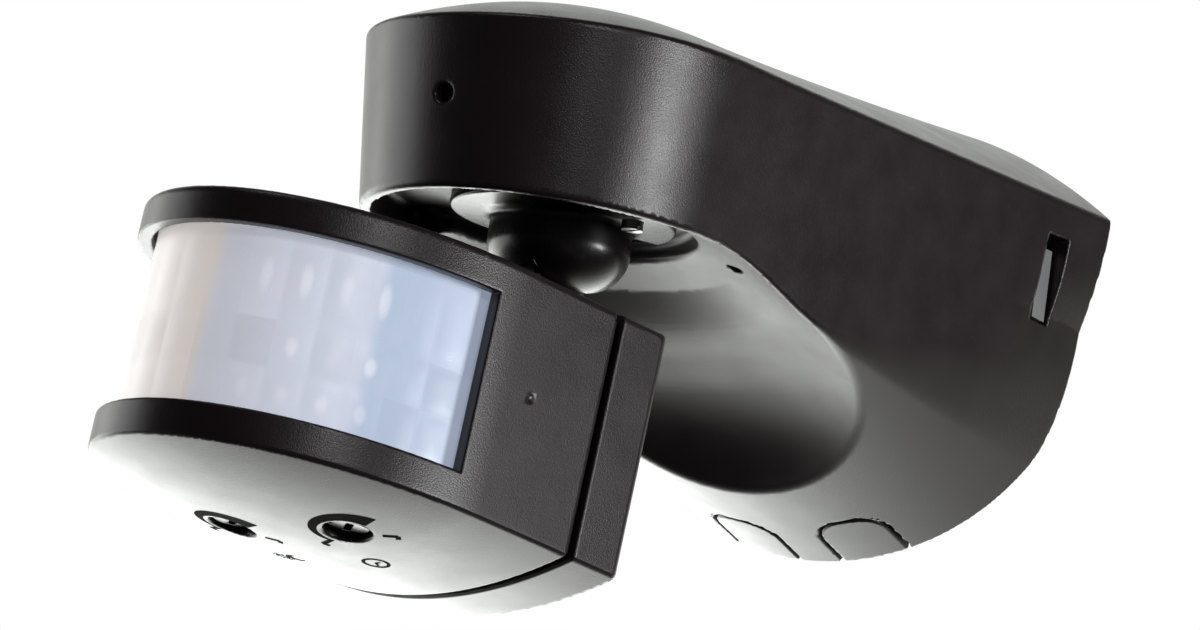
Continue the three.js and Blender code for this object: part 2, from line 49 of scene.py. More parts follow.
# ---- Driving dimensions, in millimetres ----
SKIN = 2.2
NOSE_R, NOSE_LONG, SWIVEL_Y = 28, 33.8, -80.9
WALL_HALF, DRAFT, NOSE_DIP, CROWN = 40.5, 0.1, 1.3, 15
ROUND_Z, ROUND_DEPTH, RISE, LEVEL_Y = -16.4, 34.7, 0.244, -70
CEILING_Z, RIM_Z, CEILING_R, NOSE_WALL = -19.3, -24.4, 18.5, 1.6
BOWL_SIDE = [(59.4, -47.5), (56.8, -42.6), (52.4, -37.9), (46.5, -34.1), (39.5, -31.2), (32.3, -28.4)]
SLOT_Y, SLOT_Z = (-13.5, -8.8), (-17.5, -5.1)
SCREW_Z = -12
KNOCK_X, KNOCK_HALF, KNOCK_DEEP, KNOCK_ROUND = 8.9, 5.5, 11.7, 4.8

NECK_BORE, NECK_R, FLANGE_R, PIVOT_Z = 7.6, 9.8, 15.5, -25
NECK_END, FORK_HALF, STEM_TOP = 6.5, 3.3, -11
PAN, TIP = math.radians(-15), math.radians(5.6)

HEAD_R, HEAD_LONG, HEAD_HALF, SPLIT_Y, GROOVE = 27, 36.9, 16.75, 17.2, 1.3
BACK_Y, BACK_BULGE, DOME, LID, HEAD_SKIN = 26.7, 6, 4.8, 2.6, 2
LENS_TOP, LENS_BOTTOM, LENS_END, LENS_INSET, LENS_THICK = 12.2, -12, -3.5, 2.6, 1
PIVOT_Y, PIVOT_UP = 27.6, 31
DIAL_AT, DIAL_R = {"time": (10.7, -6.4), "light": (-7.4, -10.7)}, 3.3

AT_REST = Matrix.Identity(4)
AT_NECK = Matrix.Translation((0, SWIVEL_Y, 0)) @ Matrix.Rotation(PAN, 4, "Z")
AT_HEAD = (
    AT_NECK
    @ Matrix.Translation((0, 0, PIVOT_Z))
    @ Matrix.Rotation(-TIP, 4, "X")
    @ Matrix.Translation((0, -PIVOT_Y, -PIVOT_UP))
)


# ---- Fields: the distance in mm to a surface, negative inside the solid ----
def both(a, b, r=0.0):
    """What lies in a and in b, the edge between them rounded to radius r."""
    rounded = np.hypot(np.maximum(a + r, 0), np.maximum(b + r, 0))
    return np.minimum(-r, np.maximum(a, b)) + rounded


def either(a, b, r=0.0):
    """What lies in a or in b, the inner corner between them filled to radius r."""
    return -both(-a, -b, r)


def cut(a, b, r=0.0):
    """What lies in a and not in b, with the new edge rounded."""
    return both(a, -b, r)


def rod(u, v, radius):
    return np.hypot(u, v) - radius


def between(w, low, high):
    return np.maximum(low - w, w - high)


def pad(u, v, half_u, half_v, r):
    """A rectangle about the origin whose corners have radius r."""
    a, b = np.abs(u) - half_u + r, np.abs(v) - half_v + r
    return np.hypot(np.maximum(a, 0), np.maximum(b, 0)) + np.minimum(np.maximum(a, b), 0) - r


def oval(u, v, half_u, half_v):
    """An ellipse about the origin; the distance is good near its edge."""
    q = np.maximum(np.hypot(u / half_u, v / half_v), 0.3)
    steep = np.maximum(np.hypot(u / half_u**2, v / half_v**2), 0.3 / np.maximum(half_u, half_v))
    return q * (q - 1) / steep


def d_plan(x, y, half, long, arc_y, rear_half, rear_y):
    """A D-shaped plan: an elliptical front round (0, arc_y) and straight flanks tangent to it."""
    a, b = rear_half / half, (rear_y - arc_y) / long
    turn = math.atan2(b, a) - math.acos(1 / math.hypot(a, b))
    x0, y0 = half * math.cos(turn), arc_y + long * math.sin(turn)
    lean = math.atan2(rear_half - x0, rear_y - y0)
    u, v = np.abs(x) - x0, y - y0
    flank = u * math.cos(lean) - v * math.sin(lean)
    behind = u * math.sin(lean) + v * math.cos(lean) > 0
    return np.where(behind, flank, oval(x, y - arc_y, half, long))


def spline(points, n=6):
    """Points after the first on a smooth curve through all of them."""
    through = []
    ends = [points[0], *points, points[-1]]
    for a, b, c, d in zip(ends, ends[1:], ends[2:], ends[3:]):
        for t in (i / n for i in range(1, n + 1)):
            pull = ((c[k] - a[k]) * t * (1 - t) ** 2 - (d[k] - b[k]) * t * t * (1 - t) for k in range(2))
            level = (b[k] + (c[k] - b[k]) * t * t * (3 - 2 * t) for k in range(2))
            through.append(tuple(flat + half / 2 for flat, half in zip(level, pull)))
    return through


def bend(start, middle, end, n=14):
    """Points after start on a quadratic curve that is pulled towards middle."""
    s = [i / n for i in range(1, n + 1)]
    return [
        tuple((1 - t) ** 2 * a + 2 * t * (1 - t) * b + t * t * c for a, b, c in zip(start, middle, end))
        for t in s
    ]


def outline(points, low, high, step):
    """The signed distance to a closed outline as a function of two coordinates, kept in a table."""
    us = np.arange(low[0], high[0] + step, step)
    vs = np.arange(low[1], high[1] + step, step)
    u, v = np.meshgrid(us, vs, indexing="ij")
    nearest = np.full(u.shape, 1e9)
    inside = np.zeros(u.shape, bool)
    for (au, av), (bu, bv) in zip(points, points[1:] + points[:1]):
        du, dv = bu - au, bv - av
        t = np.clip(((u - au) * du + (v - av) * dv) / max(du * du + dv * dv, 1e-12), 0, 1)
        nearest = np.minimum(nearest, np.hypot(u - au - t * du, v - av - t * dv))
        if dv:
            crossed = (av > v) != (bv > v)
            inside ^= crossed & (u < au + (v - av) * du / dv)
    table = np.where(inside, -nearest, nearest)

    def look(p, q):
        p = np.clip((p - low[0]) / step, 0, len(us) - 1.001)
        q = np.clip((q - low[1]) / step, 0, len(vs) - 1.001)
        i, j = p.astype(int), q.astype(int)
        s, t = p - i, q - j
        near = table[i, j] * (1 - s) + table[i + 1, j] * s
        far = table[i, j + 1] * (1 - s) + table[i + 1, j + 1] * s
        return near * (1 - t) + far * t

    return look


# ---- From a field to a mesh ----
def ticks(low, high, step, fine):
    """Grid marks a step apart, and closer in the stretches listed in fine."""
    marks = np.arange(low, high + step, step)
    for start, end, close in fine:
        outside = marks[(marks < start - close / 2) | (marks > end + close / 2)]
        marks = np.union1d(outside, np.arange(start, end + close / 2, close))
    return marks


def slope(field, points, reach=0.04):
    columns = []
    for axis in range(3):
        shift = np.zeros(3)
        shift[axis] = reach
        ahead, behind = (points + shift).T, (points - shift).T
        columns.append((field(*ahead) - field(*behind)) / (2 * reach))
    return np.stack(columns, 1)


def skin_of(field, low, high, step, fine=((), (), ())):
    """Points, quads and normals of the surface where the field is zero: a point in each cell it crosses."""
    axes = [ticks(low[k], high[k], step, fine[k]) for k in range(3)]
    x, y, z = np.meshgrid(*axes, indexing="ij", sparse=True)
    value = np.broadcast_to(field(x, y, z), [len(a) for a in axes])
    inside = value < 0
    corners = inside.astype(np.int8)
    for axis in range(3):
        here = [slice(None)] * 3
        here[axis] = slice(None, -1)
        there = [slice(None)] * 3
        there[axis] = slice(1, None)
        corners = corners[tuple(here)] + corners[tuple(there)]
    crossed = (corners > 0) & (corners < 8)
    total = int(crossed.sum())
    number = np.full(crossed.shape, -1)
    number[crossed] = np.arange(total)
    sums, hits, quads = np.zeros((total, 3)), np.zeros(total), []
    for axis in range(3):
        here = [slice(None)] * 3
        here[axis] = slice(None, -1)
        there = [slice(None)] * 3
        there[axis] = slice(1, None)
        edge = np.argwhere(inside[tuple(here)] != inside[tuple(there)])
        onward = edge.copy()
        onward[:, axis] += 1
        first, second = value[tuple(edge.T)], value[tuple(onward.T)]
        at = np.stack([axes[k][edge[:, k]] for k in range(3)], 1)
        gap = axes[axis][onward[:, axis]] - axes[axis][edge[:, axis]]
        at[:, axis] += gap * first / (first - second)
        across, along = (axis + 1) % 3, (axis + 2) % 3
        ring = []
        for da, db in ((-1, -1), (0, -1), (0, 0), (-1, 0)):
            cell = edge.copy()
            cell[:, across] += da
            cell[:, along] += db
            ring.append(number[tuple(cell.T)])
        ring = np.stack(ring, 1)
        for k in range(4):
            hits += np.bincount(ring[:, k], minlength=total)
            for d in range(3):
                sums[:, d] += np.bincount(ring[:, k], at[:, d], total)
        inward = first > 0
        ring[inward] = ring[inward][:, ::-1]
        quads.append(ring)
    points = sums / hits[:, None]
    for _ in range(3):
        g = slope(field, points)
        off = field(*points.T) / np.maximum((g * g).sum(1), 0.25)
        points -= np.clip(off, -step / 2, step / 2)[:, None] * g
    g = slope(field, points)
    normals = g / np.maximum(np.linalg.norm(g, axis=1), 1e-9)[:, None]
    return points, np.concatenate(quads), normals


def piece(name, points, faces, body, material, place=AT_REST, normals=None):
    """A mesh object from points in millimetres in the frame of place, riding on a body."""
    m = np.array(place)
    world = np.asarray(points, float) @ m[:3, :3].T + m[:3, 3]
    mesh = bpy.data.meshes.new(name)
    rings = faces if normals is None else np.asarray(faces).tolist()
    mesh.from_pydata((world * MM).tolist(), [], rings)
    mesh.polygons.foreach_set("use_smooth", [True] * len(mesh.polygons))
    mesh.update()
    if normals is not None:
        mesh.normals_split_custom_set_from_vertices((normals @ m[:3, :3].T).tolist())
    thing = bpy.data.objects.new(name, mesh)
    bpy.context.scene.collection.objects.link(thing)
    thing.data.materials.append(material)
    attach(thing, body)
    return thing


def moulded(name, field, low, high, step, body, material, place=AT_REST, fine=((), (), ())):
    points, faces, normals = skin_of(field, low, high, step, fine)
    return piece(name, points, faces, body, material, place, normals)


# ---- Materials ----
def node(tree, kind, inputs=None, **settings):
    made = tree.nodes.new("ShaderNode" + kind)
    for key, value in settings.items():
        setattr(made, key, value)
    for key, value in (inputs or {}).items():
        if isinstance(value, bpy.types.NodeSocket):
            tree.links.new(value, made.inputs[key])
        else:
            made.inputs[key].default_value = value
    return made


def ramp(tree, factor, *stops):
    made = node(tree, "ValToRGB", {"Fac": factor})
    elements = made.color_ramp.elements
    while len(elements) < len(stops):
        elements.new(0.5)
    for element, (at, colour) in zip(elements, stops):
        element.position = at
        element.color = (*colour, 1)
    return made.outputs["Color"]


def noise(tree, scale, detail=3.0, stretch=(1, 1, 1)):
    """Noise in the part's own frame; the scale counts features in a metre."""
    place = node(tree, "TexCoord").outputs["Object"]
    place = node(tree, "Mapping", {"Vector": place, "Scale": stretch}).outputs["Vector"]
    return node(tree, "TexNoise", {"Vector": place, "Scale": scale, "Detail": detail}).outputs["Fac"]


def spread(tree, value, low, high):
    made = node(tree, "MapRange", {"Value": value, "To Min": low, "To Max": high})
    made.inputs["From Min"].default_value = 0.3
    made.inputs["From Max"].default_value = 0.7
    return made.outputs["Result"]


def surface(name, colours, roughness, grain=None, relief=0.0, **shader):
    """A material whose colour, roughness and relief vary with noise.

    colours are a dark and a light tone, roughness a low and a high value,
    and grain the number of surface grains in a metre.
    """
    material = bpy.data.materials.new(name)
    material.use_nodes = True
    tree = material.node_tree
    principled = tree.nodes["Principled BSDF"]
    for key, value in shader.items():
        principled.inputs[key.replace("_", " ")].default_value = value
    broad = noise(tree, 45, 2)
    tone = ramp(tree, broad, (0.3, colours[0]), (0.7, colours[1]))
    tree.links.new(tone, principled.inputs["Base Color"])
    tree.links.new(spread(tree, noise(tree, 170, 4), *roughness), principled.inputs["Roughness"])
    if grain:
        grains = noise(tree, grain, 2)
        bump = node(tree, "Bump", {"Height": grains, "Strength": relief, "Distance": 0.0001})
        tree.links.new(bump.outputs["Normal"], principled.inputs["Normal"])
    return material


LENS_COLUMNS = 18
LENS_ROWS = (LENS_BOTTOM, -5.6, 0.7, LENS_TOP)  # where the rows of facets begin and end


def math_of(tree, operation, *values):
    return node(tree, "Math", dict(enumerate(values)), operation=operation).outputs[0]


def scaled(tree, value, low, high, **settings):
    """0 to 1 as value goes from low to high, held at both ends."""
    made = node(tree, "MapRange", {"Value": value, "From Min": low, "From Max": high}, **settings)
    return made.outputs[0]


def lens_material():
    """Milky polyethylene with a grid of moulded Fresnel facets, laid out by the lens's own coordinates; its
    colour drifts across it as painted light, and some facets carry painted glints.
    """
    material = bpy.data.materials.new("milky_lens")
    material.use_nodes = True
    tree = material.node_tree
    principled = tree.nodes["Principled BSDF"]
    place = node(tree, "UVMap", uv_map="facets").outputs["UV"]
    split = node(tree, "SeparateXYZ", {"Vector": place}).outputs
    column = math_of(tree, "FLOOR", split["X"])
    row = math_of(tree, "FLOOR", split["Y"])
    cell = node(tree, "CombineXYZ", {"X": column, "Y": row}).outputs[0]
    chance = node(tree, "TexWhiteNoise", {"Vector": cell}, noise_dimensions="3D").outputs["Value"]
    across = math_of(tree, "DIVIDE", split["X"], LENS_COLUMNS)
    # Milky base colour with painted light: pale peach on the left, lavender in the middle and a darker blue
    # on the right, standing for how the light falls on the lens.
    milky_tint_and_painted_light = ramp(
        tree,
        across,
        (0.30, (0.74, 0.73, 0.72)),
        (0.44, (0.78, 0.74, 0.72)),
        (0.56, (0.84, 0.78, 0.75)),
        (0.575, (0.76, 0.78, 0.87)),
        (0.72, (0.69, 0.73, 0.85)),
        (0.79, (0.62, 0.66, 0.80)),
        (0.81, (0.49, 0.58, 0.74)),
        (1.0, (0.49, 0.56, 0.71)),
    )
    shade = node(tree, "MapRange", {"Value": chance, "To Min": 0.90, "To Max": 1.04}).outputs[0]
    toned = node(tree, "VectorMath", {0: milky_tint_and_painted_light, "Scale": shade}, operation="SCALE").outputs[0]
    # Painted highlights: a round near-white glint in the middle of some facets, chosen by chance, painted
    # only in the band of the lens that faces the strip light.
    inside_x = math_of(tree, "SUBTRACT", math_of(tree, "FRACT", split["X"]), 0.5)
    inside_y = math_of(tree, "SUBTRACT", math_of(tree, "FRACT", split["Y"]), 0.5)
    narrow = math_of(tree, "MULTIPLY", inside_x, 1.3)
    offset = node(tree, "CombineXYZ", {"X": narrow, "Y": inside_y}).outputs[0]
    radius = node(tree, "VectorMath", {0: offset}, operation="LENGTH").outputs["Value"]
    spot = scaled(tree, radius, 0.27, 0.08, interpolation_type="SMOOTHSTEP")
    glint_cells = scaled(tree, chance, 0.25, 0.7)
    seen = math_of(tree, "MULTIPLY", scaled(tree, across, 0.60, 0.66), scaled(tree, across, 0.86, 0.80))
    glow = math_of(tree, "MULTIPLY", math_of(tree, "MULTIPLY", spot, glint_cells), seen)
    # Painted highlight: the glints are mixed over the tint, and through the emission colour they glow as
    # well.
    colour = node(tree, "Mix", {"Factor": glow}, data_type="RGBA")
    tree.links.new(toned, colour.inputs["A"])
    colour.inputs["B"].default_value = (0.88, 0.90, 0.98, 1)
    tree.links.new(colour.outputs["Result"], principled.inputs["Base Color"])
    tree.links.new(colour.outputs["Result"], principled.inputs["Emission Color"])
    # The slight glow stands for daylight that comes through the thin skin.
    principled.inputs["Emission Strength"].default_value = 0.5
    rings = math_of(tree, "SINE", math_of(tree, "MULTIPLY", radius, 150.0))
    bump = node(tree, "Bump", {"Height": rings, "Strength": 0.05, "Distance": 0.00005})
    tree.links.new(bump.outputs["Normal"], principled.inputs["Normal"])
    tree.links.new(spread(tree, noise(tree, 300, 3), 0.28, 0.36), principled.inputs["Roughness"])
    principled.inputs["Subsurface Weight"].default_value = 0.25
    principled.inputs["Subsurface Scale"].default_value = 0.002
    return material


def board_material():
    """Green solder mask over copper tracks."""
    material = surface("solder_mask", ((0.008, 0.075, 0.028), (0.014, 0.11, 0.04)), (0.25, 0.4))
    tree = material.node_tree
    principled = tree.nodes["Principled BSDF"]
    place = node(tree, "TexCoord").outputs["Object"]
    bricks = {"Vector": place, "Scale": 210.0, "Mortar Size": 0.03}
    tracks = node(tree, "TexBrick", bricks).outputs["Fac"]
    base = principled.inputs["Base Color"].links[0].from_socket
    mixed = node(tree, "Mix", {"Factor": tracks}, data_type="RGBA")
    tree.links.new(base, mixed.inputs["A"])
    mixed.inputs["B"].default_value = (0.05, 0.24, 0.07, 1)
    tree.links.new(mixed.outputs["Result"], principled.inputs["Base Color"])
    bump = node(tree, "Bump", {"Height": tracks, "Strength": 0.4, "Distance": 0.00006})
    tree.links.new(bump.outputs["Normal"], principled.inputs["Normal"])
    return material


brown = surface(
    "textured_brown", ((0.017, 0.0105, 0.0125), (0.023, 0.0145, 0.0170)), (0.28, 0.34), 5200, 0.3
)
neck_dark = surface("neck_nylon", ((0.008, 0.006, 0.006), (0.012, 0.010, 0.010)), (0.24, 0.32), 2500, 0.1)
gloss_black = surface("gloss_black", ((0.006, 0.006, 0.006), (0.011, 0.010, 0.010)), (0.22, 0.3), 3000, 0.1)
ink = surface(
    "black_ink", ((0.003, 0.003, 0.003), (0.006, 0.006, 0.006)), (0.75, 0.85), 6000, 0.2,
    Specular_IOR_Level=0.02,
)
rubber = surface("soft_rubber", ((0.010, 0.010, 0.010), (0.018, 0.018, 0.018)), (0.7, 0.85), 4000, 0.4)
grey = surface("inner_grey", ((0.24, 0.25, 0.25), (0.31, 0.31, 0.32)), (0.42, 0.55), 4200, 0.2)
steel = surface("zinc_steel", ((0.42, 0.42, 0.43), (0.58, 0.58, 0.57)), (0.24, 0.4), 3500, 0.25, Metallic=1.0)
brass = surface(
    "turned_brass", ((0.50, 0.34, 0.11), (0.68, 0.50, 0.19)), (0.22, 0.36), 3500, 0.2, Metallic=1.0
)
part_black = surface("moulded_black", ((0.009, 0.009, 0.010), (0.018, 0.018, 0.02)), (0.4, 0.6), 5000, 0.3)
blue = surface("dipped_blue", ((0.02, 0.08, 0.26), (0.03, 0.13, 0.38)), (0.2, 0.35), 1800, 0.2)
red = surface(
    "clear_red", ((0.42, 0.012, 0.01), (0.58, 0.03, 0.02)), (0.08, 0.16), 1500, 0.05, Coat_Weight=0.5
)


board = board_material()
milky = lens_material()


# ---- Housing ----
ROLL_AT_WALL, ROLL_AHEAD, ROLL_LONG = 5, 0.5, 60  # radius of the lower edge, and where it stops changing
TOP_EDGE, BOWL_EDGE, WALL_EDGE = 0.5, 0.7, 0.4
SLOT_FROM_X, KNOCK_TOP, CUT_EDGE = 30, -30, 0.25


def ramped(t, soft=6.0):
    """t where it is above zero and nearly nothing below, with a smooth start."""
    return (t + np.sqrt(t * t + soft * soft)) / 2


def roof(x, y):
    """The roof's height and the length of its slope vector."""
    ahead = ramped(SWIVEL_Y - y) / NOSE_LONG
    flank = NOSE_R + (WALL_HALF - NOSE_R) * ramped(y - SWIVEL_Y) / -SWIVEL_Y
    crown = CROWN / WALL_HALF**2
    half_squared = flank**2 - NOSE_R**2 * ahead**2
    height = crown * (half_squared - x * x) - NOSE_DIP * ahead**2
    return height, np.sqrt(1 + (2 * crown * x) ** 2)


def housing_outside(x, y, z):
    """Drafted walls on a D-shaped plan, a crowned roof, and an elliptical underside."""
    plan = d_plan(x, y, NOSE_R, NOSE_LONG, SWIVEL_Y, WALL_HALF, 0)
    walls = (plan - DRAFT * z) / math.hypot(1, DRAFT)
    half = WALL_HALF + DRAFT * ROUND_Z
    depth = ROUND_DEPTH + RISE * (LEVEL_Y + ramped(y - LEVEL_Y, 3.0))
    curved = oval(x, z - ROUND_Z, half, depth)
    under = np.where(z < ROUND_Z, curved, np.abs(x) - half - (z - ROUND_Z) / 2)
    roll = ROLL_AT_WALL + (ROLL_AHEAD - ROLL_AT_WALL) * np.clip(-y / ROLL_LONG, 0, 1)
    height, steep = roof(x, y)
    return both(both(walls, under, roll), (z - height) / steep, TOP_EDGE)


def bowl_outline():
    """Half the section of the space under the nose, as (radius, z)."""
    far = 200
    rim = (NOSE_R + DRAFT * RIM_Z, RIM_Z)
    points = [(-far, -far), (BOWL_SIDE[0][0], -far), BOWL_SIDE[0]]
    points += spline([*BOWL_SIDE, rim])
    points.append((CEILING_R, RIM_Z + 2.4))
    return points + [(-far, RIM_Z + 2.4)]


bowl_section = outline(bowl_outline(), (0, -56), (128, -14), 0.35)


def bowl(x, y, z):
    """The space under the nose that the head swings in, with the well round the neck."""
    reach = np.hypot(x, y - SWIVEL_Y)
    plan = d_plan(x, y, NOSE_R, NOSE_LONG, SWIVEL_Y, WALL_HALF, 0) - DRAFT * RIM_Z + NOSE_WALL
    well = either(reach - CEILING_R, both(plan, y - SWIVEL_Y, 1.0), 3.0)
    upper = both(z - CEILING_Z, well, 1.2)
    turned = either(bowl_section(reach, z), upper, 0.6)
    front = np.maximum(y - SWIVEL_Y, z - RIM_Z)
    return np.minimum(turned, front)


def knock_outline(x, y, side):
    """The outline of one cable-entry blank in the lower rim."""
    return pad(x - side * KNOCK_X, y, KNOCK_HALF, KNOCK_DEEP, KNOCK_ROUND)


def housing_shell(x, y, z):
    """The hollow cover before its slots and holes."""
    outside, space = housing_outside(x, y, z), bowl(x, y, z)
    hollow = np.maximum(outside + SKIN, SKIN - space)
    return both(np.maximum(cut(outside, space, BOWL_EDGE), -hollow), y, WALL_EDGE)


HOLE_R, DRAIN_R = 1.3, 1.0


def housing_cover(x, y, z):
    shell = housing_shell(x, y, z)
    middle = sum(SLOT_Y) / 2, sum(SLOT_Z) / 2
    half = (SLOT_Y[1] - SLOT_Y[0]) / 2, (SLOT_Z[1] - SLOT_Z[0]) / 2
    side_slot = pad(y - middle[0], z - middle[1], *half, 0.4)
    shell = cut(shell, np.maximum(side_slot, SLOT_FROM_X - np.abs(x)), CUT_EDGE)
    for side in (-1, 1):
        shell = cut(shell, np.maximum(knock_outline(x, y, side), z - KNOCK_TOP), CUT_EDGE)
    screw_hole = np.maximum(rod(x, z - SCREW_Z, HOLE_R), y + 105)
    drain = np.maximum(rod(x - 19.2, y - SWIVEL_Y - 15, DRAIN_R), between(z, -36, -22))
    bore = np.maximum(rod(x, y - SWIVEL_Y, NECK_BORE), between(z, -25, -12))
    for hole, edge in ((screw_hole, 0.45), (drain, 0.3), (bore, 0.3)):
        shell = cut(shell, hole, edge)
    return shell


GROOVE_SIDE = 0.45


def knockout(side):
    """The blank that fills an entry, inside a narrow groove."""

    def blank(x, y, z):
        inner = np.maximum(knock_outline(x, y, side) + GROOVE_SIDE, z - KNOCK_TOP)
        return both(housing_shell(x, y, z), inner, CUT_EDGE)

    return blank


FINE_HOUSING = (
    [(-37.6, -35.6, 0.35), (35.6, 37.6, 0.35), (-2.4, 2.4, 0.3)],
    [(-115.5, -113, 0.35), (-14.2, -8, 0.35), (-0.9, 0.5, 0.3)],
    [(-14.4, -9.6, 0.35)],
)
cover = moulded(
    "housing_surface", housing_cover, (-42.5, -118, -54), (42.5, 1.6, 17.5), 0.62,
    "housing", brown, fine=FINE_HOUSING,
)
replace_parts(cover, "housing_cover")
for label, side in (("left", -1), ("right", 1)):
    near, far = sorted((side * 2.2, side * 15.6))
    entry = moulded(
        f"knockout_{label}_surface", knockout(side), (near, -13.2, -53), (far, 1.4, -40), 0.4,
        "housing", brown,
    )
    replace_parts(entry, f"knockout_{label}")


# ---- Neck ----
def neck_outline():
    """Half the section of the neck, as (radius, z)."""
    far = 40
    quarter = np.linspace(0, math.pi / 2, 24)
    low = [(NECK_R * math.sin(a), PIVOT_Z - NECK_END * math.cos(a)) for a in quarter]
    seat = CEILING_Z - 0.3
    points = [(-far, low[0][1])] + low
    points.append((NECK_R, seat - 3))
    points += bend(points[-1], (NECK_R, seat - 1.6), (NECK_R + 1.6, seat - 1.6), 8)
    points.append((FLANGE_R - 0.5, seat - 1.4))
    points += bend(points[-1], (FLANGE_R, seat - 1.4), (FLANGE_R, seat - 0.9), 5)
    stem = NECK_BORE - 0.3
    return points + [(FLANGE_R, seat), (stem, seat), (stem, STEM_TOP), (-far, STEM_TOP)]


neck_section = outline(neck_outline(), (0, -36), (20, -6), 0.1)


def swivel_neck(x, y, z):
    """The flange, stem and rounded end, with the slot and pin holes of the tilt joint."""
    body = neck_section(np.hypot(x, y), z)
    slot = np.maximum(np.abs(x) - FORK_HALF, between(z, PIVOT_Z - 12, PIVOT_Z + 5.6))
    body = cut(body, np.maximum(slot, -7.2 - y), 0.5)
    body = cut(body, rod(x, y, 2.6), 0.3)
    return cut(body, np.maximum(rod(y, z - PIVOT_Z, 1.7), np.abs(x) - NECK_R + 1.7), 0.3)


neck = moulded(
    "neck_surface", swivel_neck, (-17, -17, -33), (17, 17, -9.5), 0.36,
    "neck", neck_dark, AT_NECK,
)
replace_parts(neck, "swivel_neck")


# ---- Head shells ----
REAR_HALF = HEAD_R - 0.02 * BACK_Y


def dome(x, y, rise):
    """Height of a shallow dome over the head's plan."""
    front = HEAD_R**2 * (1 - (np.minimum(y, 0) / HEAD_LONG) ** 2)
    flank = (HEAD_R - (HEAD_R - REAR_HALF) * np.clip(y, 0, BACK_Y) / BACK_Y) ** 2
    rear = 1 - np.maximum(0, y - BACK_Y) / BACK_BULGE
    return rise / HEAD_R**2 * (np.where(y < 0, front, flank * rear) - x * x)


def head_outside(x, y, z):
    sides = d_plan(x, y, HEAD_R, HEAD_LONG, 0, REAR_HALF, BACK_Y)
    swell = BACK_BULGE * (1 - (x / REAR_HALF) ** 2)
    back = (y - BACK_Y - swell) / np.sqrt(1 + (2 * BACK_BULGE * x / REAR_HALF**2) ** 2)
    form = both(sides, back, 0.8)
    form = both(form, z - HEAD_HALF - dome(x, y, LID), 0.7)
    return both(form, -z - HEAD_HALF - dome(x, y, DOME), 0.5)


def head_shell(x, y, z):
    outside = head_outside(x, y, z)
    return np.maximum(outside, -outside - HEAD_SKIN)


def head_front(x, y, z):
    """The front shell with the lens window, the holes of the adjusters and a small dimple."""
    body = both(head_shell(x, y, z), y - SPLIT_Y, 0.35)
    tall = np.abs(z - (LENS_TOP + LENS_BOTTOM) / 2) - (LENS_TOP - LENS_BOTTOM) / 2
    body = cut(body, np.maximum(y - LENS_END, tall), 0.3)
    for at_x, at_y in DIAL_AT.values():
        body = cut(body, np.maximum(rod(x - at_x, y - at_y, DIAL_R), z + 10), 0.3)
    dimple = np.sqrt((x - HEAD_R - 0.4) ** 2 + (y - 5.2) ** 2 + (z - 0.8) ** 2) - 0.8
    return cut(body, dimple, 0.2)


def tongue_outline():
    """The side view of the tongue that goes up into the neck."""
    turn = [math.pi * i / 24 for i in range(25)]
    top = [(PIVOT_Y + 5 * math.cos(a), PIVOT_UP + 5 * math.sin(a)) for a in turn]
    return top + [(PIVOT_Y - 6.6, 15), (PIVOT_Y + 3.2, 15)]


tongue_side = outline(tongue_outline(), (17, 10), (37, 40), 0.2)


def head_back(x, y, z):
    """The rear shell with its tongue and the sunk holes of the two screws."""
    body = both(head_shell(x, y, z), SPLIT_Y + GROOVE - y, 0.35)
    tongue = both(tongue_side(y, z), np.abs(x) - FORK_HALF + 0.4, 0.5)
    body = either(body, both(tongue, 15.5 - z), 0.9)
    body = cut(body, rod(y - PIVOT_Y, z - PIVOT_UP, 1.7), 0.3)
    for side in (-1, 1):
        body = cut(body, np.maximum(rod(x - side * 21, z, 3.1), 27.4 - y), 0.25)
    return body


FINE_FRONT = (
    [],
    [(LENS_END - 0.6, LENS_END + 0.6, 0.25), (SPLIT_Y - 1, SPLIT_Y + 0.4, 0.2)],
    [(LENS_BOTTOM - 0.6, LENS_BOTTOM + 0.6, 0.25), (LENS_TOP - 0.6, LENS_TOP + 0.6, 0.25)],
)
front = moulded(
    "head_front_surface", head_front, (-28.5, -38.5, -23), (28.5, SPLIT_Y + 1, 21), 0.5,
    "head", brown, AT_HEAD, FINE_FRONT,
)
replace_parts(front, "head_front")
rear = moulded(
    "head_back_surface", head_back, (-28.5, SPLIT_Y + 0.3, -23), (28.5, 34.5, 38), 0.5,
    "head", brown, AT_HEAD, ([], [(SPLIT_Y + 0.9, SPLIT_Y + 2.3, 0.2)], []),
)
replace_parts(rear, "head_back_cover")


# ---- Lens ----
def even_path(inset, rear, steps):
    """Points and outward directions at even steps round the head's plan, from its left flank to its right."""
    a, b = HEAD_R - inset, HEAD_LONG - inset
    turn = np.linspace(-math.pi, 0, 400)
    arc = np.stack([a * np.cos(turn), b * np.sin(turn)], 1)
    path = np.concatenate([[[-a, rear]], arc, [[a, rear]]])
    length = np.concatenate([[0], np.cumsum(np.linalg.norm(np.diff(path, axis=0), axis=1))])
    marks = np.linspace(0, length[-1], steps + 1)
    at = np.stack([np.interp(marks, length, path[:, k]) for k in range(2)], 1)
    along = np.gradient(at, axis=0)
    along /= np.linalg.norm(along, axis=1)[:, None]
    return at, np.stack([along[:, 1], -along[:, 0]], 1)


FACET_STEPS, ROW_STEPS, FACET_RISE, LENS_LAP = 12, 8, 0.09, 1.4


